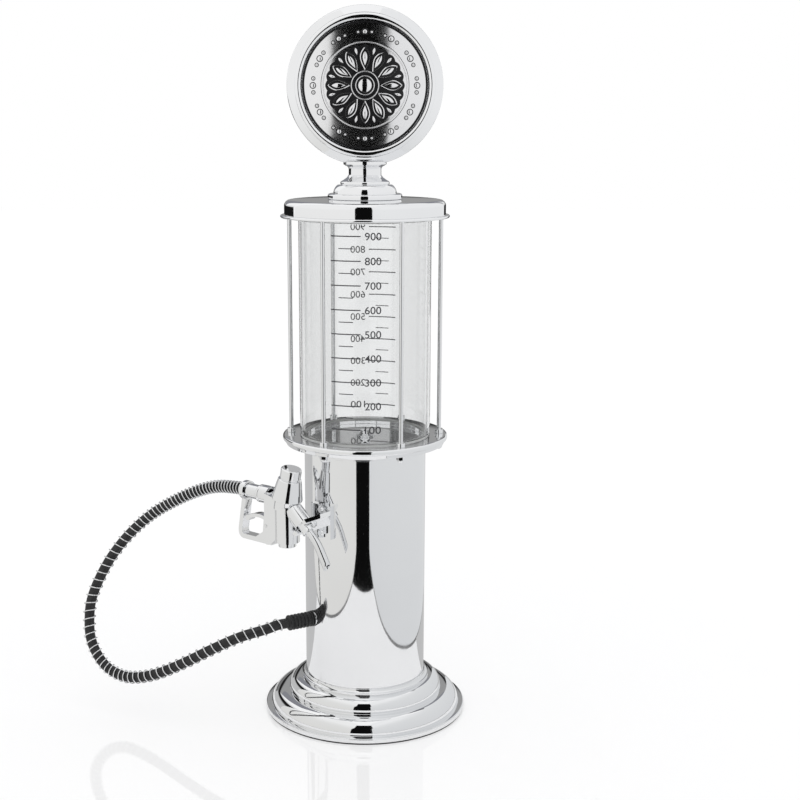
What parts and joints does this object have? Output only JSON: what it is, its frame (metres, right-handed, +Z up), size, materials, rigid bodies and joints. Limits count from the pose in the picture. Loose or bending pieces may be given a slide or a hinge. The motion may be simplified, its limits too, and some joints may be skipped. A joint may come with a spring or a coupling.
{
  "type": "shot dispenser",
  "caption": "Countertop drink dispenser shaped like a vintage fuel pump, with a clear canister, a lift-off lid and a trigger nozzle on a spring-wrapped hose.",
  "frame": {"origin": "centre of the base's underside, on the table", "axes": "+Z up along the column, -Y towards the front where the sign faces, +X to the right; the nozzle hangs on the -X side"},
  "size_m": [0.2809, 0.146, 0.5],
  "materials": {
    "chrome": "polished chrome plating",
    "bright_steel": "bright nickel-plated steel",
    "plain_steel": "plain turned steel",
    "clear_acrylic": "clear polished acrylic with a printed scale",
    "clear_tube": "translucent food-grade tube",
    "black_rubber": "matt black rubber",
    "clear_silicone": "milky silicone",
    "black_plastic": "moulded plastic",
    "brass": "turned brass",
    "emblem_chrome": "chrome relief over a dark smoked ground"
  },
  "bodies": {
    "stand": {"base_pad": "black_rubber", "base_plate": "plain_steel", "base_screws": "plain_steel", "base_shell": "chrome", "foot_ring": "plain_steel", "column_tube": "chrome", "cove_ring": "chrome", "deck_flange": "chrome", "tie_rods": "bright_steel", "acorn_nuts": "chrome", "rod_collars": "chrome", "rod_screws": "chrome", "canister_gasket": "clear_silicone", "canister": "clear_acrylic", "top_seal": "clear_silicone", "top_ring": "chrome", "outlet_fitting": "plain_steel", "outlet_strainer": "chrome", "outlet_washer": "black_rubber", "outlet_nut": "plain_steel", "drain_tube": "clear_tube", "hose_gland": "chrome", "gland_nut": "plain_steel", "hose_sleeve": "black_rubber", "hose": "black_rubber", "hose_spring": "bright_steel", "gun_holder": "chrome", "holder_screws": "chrome"},
    "lid": {"lid_cover": "chrome", "lid_plug": "black_plastic", "lid_seal": "clear_silicone", "neck": "chrome", "neck_stud": "plain_steel", "stud_nuts": "plain_steel", "sign_front": "chrome", "sign_back": "chrome", "sign_emblem": "emblem_chrome"},
    "gun": {"gun_body": "chrome", "hose_coupling": "chrome", "union_nut": "chrome", "cap_gasket": "black_rubber", "valve_cap": "chrome", "valve_seat": "black_rubber", "valve_spring": "plain_steel", "bottom_plug": "chrome", "spout_nut": "chrome", "spout": "bright_steel", "trigger_pin": "plain_steel", "trigger_guard": "chrome", "guard_screw": "chrome"},
    "trigger": {"trigger": "chrome"},
    "valve": {"valve_stem": "brass"}
  },
  "joints": [
    {"name": "lid_lift", "type": "slide", "parent": "stand", "child": "lid", "axis": [0, 0, 1], "range_m": [0, 0.06]},
    {"name": "gun_pull", "type": "slide", "parent": "stand", "child": "gun", "axis": [-0.6428, -0.766, 0], "range_m": [0, 0.025], "deforming": ["hose", "hose_spring"]},
    {"name": "trigger_squeeze", "type": "hinge", "parent": "gun", "child": "trigger", "pos_m": [-0.06469, -0.02731, 0.1463], "axis": [0.6428, 0.766, 0], "range_deg": [0, 20]},
    {"name": "valve_open", "type": "slide", "parent": "gun", "child": "valve", "axis": [0, 0, -1], "range_m": [0, 0.00474], "stiffness_N_per_m": 12, "springref_m": -0.008, "deforming": ["valve_spring"]}
  ],
  "couplings": [
    {"joint": "trigger_squeeze", "follows": "valve_open", "rad_per_m": 73.529}
  ]
}
